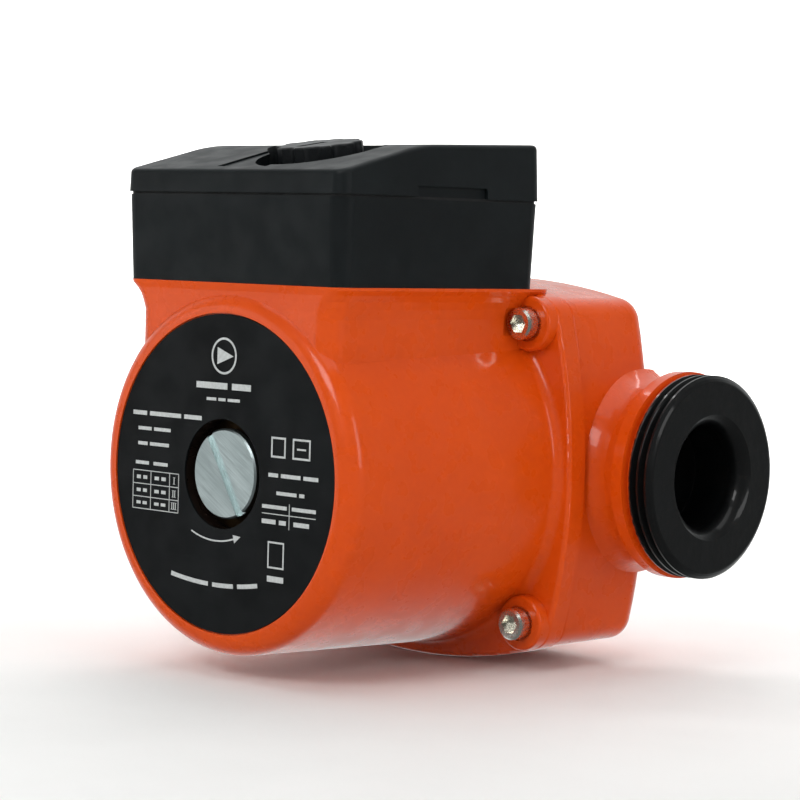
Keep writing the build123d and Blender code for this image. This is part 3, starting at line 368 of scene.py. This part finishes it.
class Print:
    """Flat printed shapes on the label, in label millimetres: u to the right, v up, from its centre."""

    def __init__(self):
        self.mesh = bmesh.new()

    def shape(self, outline):
        """A filled outline, drawn anticlockwise."""
        front, back = LABEL_FACE - INK, LABEL_FACE + INK
        lifted = [self.mesh.verts.new((u * MM, front, v * MM)) for u, v in outline]
        sunk = [self.mesh.verts.new((u * MM, back, v * MM)) for u, v in outline]
        self.mesh.faces.new(lifted)
        self.mesh.faces.new(sunk[::-1])
        for i, corner in enumerate(lifted):
            j = (i + 1) % len(lifted)
            self.mesh.faces.new((lifted[j], corner, sunk[i], sunk[j]))

    def bar(self, u0, u1, v0, v1):
        """A rectangle."""
        self.shape([(u0, v0), (u1, v0), (u1, v1), (u0, v1)])

    def frame(self, u0, u1, v0, v1, line):
        """An open rectangle."""
        self.bar(u0, u1, v0, v0 + line)
        self.bar(u0, u1, v1 - line, v1)
        self.bar(u0, u0 + line, v0 + line, v1 - line)
        self.bar(u1 - line, u1, v0 + line, v1 - line)

    def band(self, centre, radius, line, start, end, steps=40):
        """Part of a ring, between two angles in degrees."""
        points = []
        for edge, order in ((radius - line / 2, 1), (radius + line / 2, -1)):
            for k in range(steps + 1)[::order]:
                a = math.radians(start + (end - start) * k / steps)
                points.append((centre[0] + edge * math.cos(a), centre[1] + edge * math.sin(a)))
        self.shape(points[::-1])

    def dashes(self, u0, u1, v0, v1, pattern):
        """A row of plain dashes in place of a line of words; the pattern gives their lengths."""
        gap = 0.42 * (v1 - v0)
        unit = (u1 - u0 - gap * (len(pattern) - 1)) / sum(pattern)
        u = u0
        middle, half = (v0 + v1) / 2, 0.2 * (v1 - v0)
        for length in pattern:
            self.bar(u, u + unit * length, middle - half, middle + half)
            u += unit * length + gap

    def strokes(self, u, v, height, count):
        """A Roman numeral made of upright strokes with its two rules."""
        step, line = 0.62, 0.26
        width = step * (count - 1) + 0.7
        for k in range(count):
            middle = u + (k - (count - 1) / 2) * step
            self.bar(middle - line / 2, middle + line / 2, v, v + height)
        self.bar(u - width / 2, u + width / 2, v - 0.1, v)
        self.bar(u - width / 2, u + width / 2, v + height, v + height + 0.1)

    def piece(self, name, finish):
        """The print as one piece that rides on the label's body."""
        bmesh.ops.recalc_face_normals(self.mesh, faces=self.mesh.faces)
        data = bpy.data.meshes.new(name)
        self.mesh.to_mesh(data)
        self.mesh.free()
        data.materials.append(finish)
        obj = bpy.data.objects.new(name, data)
        bpy.context.scene.collection.objects.link(obj)
        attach(obj, "root")
        return obj


def pump_symbol(p, u, v, radius):
    """The plain drawing-office sign for a pump: a circle with a triangle in it."""
    p.band((u, v), radius, 0.5, 0, 359.9, 60)
    tip = radius * 0.8
    p.shape([(u - tip * 0.7, v - tip * 0.62), (u + tip, v), (u - tip * 0.7, v + tip * 0.62)])


def rating_tables(p):
    """The two small tables of figures, as rules and dashes, with the speeds numbered I to III."""
    columns = (-30.2, -24.0, -17.5, -14.4)
    rows = (1.5, -1.2, -4.3, -7.3, -10.1)
    for left, right in zip(columns[:2], columns[1:3]):
        p.dashes(left + 0.8, right - 0.8, rows[0] - 1.9, rows[0] + 0.1, (3,))
    for v in rows[1:]:
        p.bar(columns[0], columns[-1], v - 0.1, v + 0.1)
    for u in columns:
        p.bar(u - 0.1, u + 0.1, rows[-1], rows[1])
    for speed, (top, bottom) in enumerate(zip(rows[1:-1], rows[2:]), 1):
        for left, right in zip(columns[:2], columns[1:3]):
            p.dashes(left + 1.3, right - 1.3, bottom + 0.5, top - 0.5, (1, 1))
        p.strokes((columns[2] + columns[3]) / 2, bottom + 0.75, 1.4, speed)
    p.dashes(13.5, 21.4, -7.0, -4.9, (3,))
    p.dashes(23.0, 30.5, -7.0, -4.9, (3,))
    p.bar(13.5, 30.5, -7.6, -7.4)
    p.bar(22.1, 22.3, -10.6, -4.9)
    p.dashes(13.5, 21.2, -10.5, -8.0, (2, 1))
    p.dashes(23.6, 28.5, -10.5, -8.0, (2,))


def turning_arrow(p):
    """Curved arrow that shows which way the motor turns."""
    centre, radius = (-1.6, 5.4), 20.6
    start, end = 247, 287
    p.band(centre, radius, 0.36, start, end)
    a = math.radians(end)
    tip = (centre[0] + radius * math.cos(a), centre[1] + radius * math.sin(a))
    along, out = (-math.sin(a), math.cos(a)), (math.cos(a), math.sin(a))
    head = [(0.0, 0.95), (2.4, 0.0), (0.0, -0.95)]
    p.shape([(tip[0] + f * along[0] + s * out[0], tip[1] + f * along[1] + s * out[1]) for f, s in head])


def curved_line(p):
    """The row of dashes that sags gently along the label's foot."""
    centre, radius, line = (-1.85, 60.0), 85.2, 1.0
    lengths = (12.6, 6.9, 6.6)
    gap = 1.4
    along = -(sum(lengths) + gap * (len(lengths) - 1)) / 2
    for length in lengths:
        start, end = (270 + math.degrees(edge / radius) for edge in (along, along + length))
        p.band(centre, radius, line, start, end, 12)
        along += length + gap


def sign_frames(p):
    """Plain frames where the approval and disposal signs would be."""
    p.frame(16.0, 20.6, 5.0, 9.6, 0.45)
    p.frame(22.8, 28.4, 5.0, 9.6, 0.45)
    p.bar(24.2, 27.0, 7.1, 7.5)
    p.frame(15.6, 20.8, -19.6, -13.6, 0.4)
    p.bar(15.6, 20.8, -22.6, -21.3)


def label_print(finish):
    """Everything printed on the label: plain dashes and signs, with no words, names or marks."""
    p = Print()
    pump_symbol(p, 0.0, 26.6, 3.9)
    for row in WORD_ROWS:
        p.dashes(*row)
    sign_frames(p)
    rating_tables(p)
    turning_arrow(p)
    curved_line(p)
    return p.piece("label_print", finish)


# ---- studio ----
def floor():
    """Round studio floor whose rim sweeps up into a backdrop."""
    level = cad_box[0][2]
    flat, bend, height = 1.1, 0.5, 0.9
    steps, sides = 10, 72
    profile = [(0.0, 0.0), (flat, 0.0)]
    for k in range(1, steps + 1):
        a = math.radians(90 * k / steps)
        profile.append((flat + bend * math.sin(a), bend * (1 - math.cos(a))))
    profile.append((flat + bend, bend + height))
    mesh = bmesh.new()
    points = [mesh.verts.new((r, 0, level + z)) for r, z in profile]
    edges = [mesh.edges.new(pair) for pair in zip(points, points[1:])]
    bmesh.ops.spin(mesh, geom=points + edges, axis=(0, 0, 1), cent=(0, 0, 0), steps=sides, angle=math.tau)
    bmesh.ops.remove_doubles(mesh, verts=mesh.verts, dist=MM)
    bmesh.ops.recalc_face_normals(mesh, faces=mesh.faces)
    for face in mesh.faces:
        face.smooth = True
    data = bpy.data.meshes.new("floor")
    mesh.to_mesh(data)
    mesh.free()
    obj = bpy.data.objects.new("floor", data)
    bpy.context.scene.collection.objects.link(obj)
    f = Finish("floor_paper")
    f.colour(f.mix(f.spread(f.noise(60 * MM, 3), 0, 1), srgb(238, 238, 237), srgb(242, 242, 241)))
    f.roughness(f.spread(f.noise(20 * MM, 3), 0.75, 0.85))
    f.bump((f.noise(1.5 * MM, 4), 0.02 * MM))
    data.materials.append(f.material)
    obj.visible_glossy = False


def soft_box(name, place, target, size, power, colour=(1, 1, 1)):
    """Rectangular soft light that looks at a target."""
    data = bpy.data.lights.new(name, "AREA")
    data.shape = "RECTANGLE"
    data.size, data.size_y = size
    data.energy = power
    data.color = colour
    obj = bpy.data.objects.new(name, data)
    obj.location = place
    obj.rotation_euler = (Vector(target) - Vector(place)).to_track_quat("-Z", "Y").to_euler()
    bpy.context.scene.collection.objects.link(obj)


def room(behind, strength_behind, strength_front):
    """Surroundings that are bright on one side, behind the pump, and dim on the camera's side."""
    world = bpy.data.worlds.new("studio")
    world.use_nodes = True
    tree = world.node_tree
    glow = tree.nodes["Background"]
    towards = tree.nodes.new("ShaderNodeTexCoord").outputs["Generated"]
    facing = tree.nodes.new("ShaderNodeVectorMath")
    facing.operation = "DOT_PRODUCT"
    facing.inputs[1].default_value = behind
    ramp = tree.nodes.new("ShaderNodeMapRange")
    ramp.interpolation_type = "SMOOTHSTEP"
    ramp.inputs["From Min"].default_value = 0.2
    ramp.inputs["From Max"].default_value = 0.8
    ramp.inputs["To Min"].default_value = strength_front
    ramp.inputs["To Max"].default_value = strength_behind
    tree.links.new(towards, facing.inputs[0])
    tree.links.new(facing.outputs["Value"], ramp.inputs["Value"])
    tree.links.new(ramp.outputs["Result"], glow.inputs["Strength"])
    glow.inputs["Color"].default_value = (0.97, 1.0, 1.0, 1)
    bpy.context.scene.world = world


def studio():
    """Soft overhead light, key beside the camera, weak lights at both sides and a wash on the backdrop."""
    bpy.context.scene.view_settings.view_transform = "Standard"
    room((-0.69, 0.72, 0.0), 0.9, 0.16)
    soft_box("overhead", (0.0, 0.0, 1.1), (0, -0.04, 0), (1.2, 1.2), 5.5)
    soft_box("key", (0.25, -1.0, 0.75), (0, -0.05, 0), (0.5, 0.4), 4.0)
    soft_box("side", (1.0, 0.1, 0.35), (0, -0.04, 0), (0.3, 0.5), 1.4)
    soft_box("left_card", (-1.0, -1.1, 0.12), (0, -0.08, 0), (0.9, 0.7), 1.7)
    soft_box("backdrop_wash", (-0.45, 0.5, 1.0), (-1.1, 1.2, 0.2), (0.9, 0.9), 24)


# ---- camera ----
AZIMUTH, ELEVATION, ROLL = 43.68, 3.42, 1.52
DISTANCE = 0.680
LENS, SENSOR = 122.2, 36.0
ASIDE, ABOVE = -0.02625, 0.01428   # how far the line of sight passes from the origin


def camera():
    """Camera at the front right, a little above the pipe axis."""
    az, el, roll = (math.radians(a) for a in (AZIMUTH, ELEVATION, ROLL))
    back = Vector((math.sin(az) * math.cos(el), -math.cos(az) * math.cos(el), math.sin(el)))
    level = Vector((math.cos(az), math.sin(az), 0))
    upright = back.cross(level)
    right = level * math.cos(roll) + upright * math.sin(roll)
    up = upright * math.cos(roll) - level * math.sin(roll)
    data = bpy.data.cameras.new("camera")
    data.lens, data.sensor_width = LENS, SENSOR
    data.clip_start, data.clip_end = 0.01, 20
    obj = bpy.data.objects.new("camera", data)
    turn = Matrix((right, up, back)).transposed().to_4x4()
    obj.matrix_world = Matrix.Translation(back * DISTANCE + right * ASIDE + up * ABOVE) @ turn
    bpy.context.scene.collection.objects.link(obj)
    bpy.context.scene.camera = obj


finishes = make_finishes()
dress_frame(finishes)
label_print(printed_ink("label_ink"))
floor()
studio()
camera()
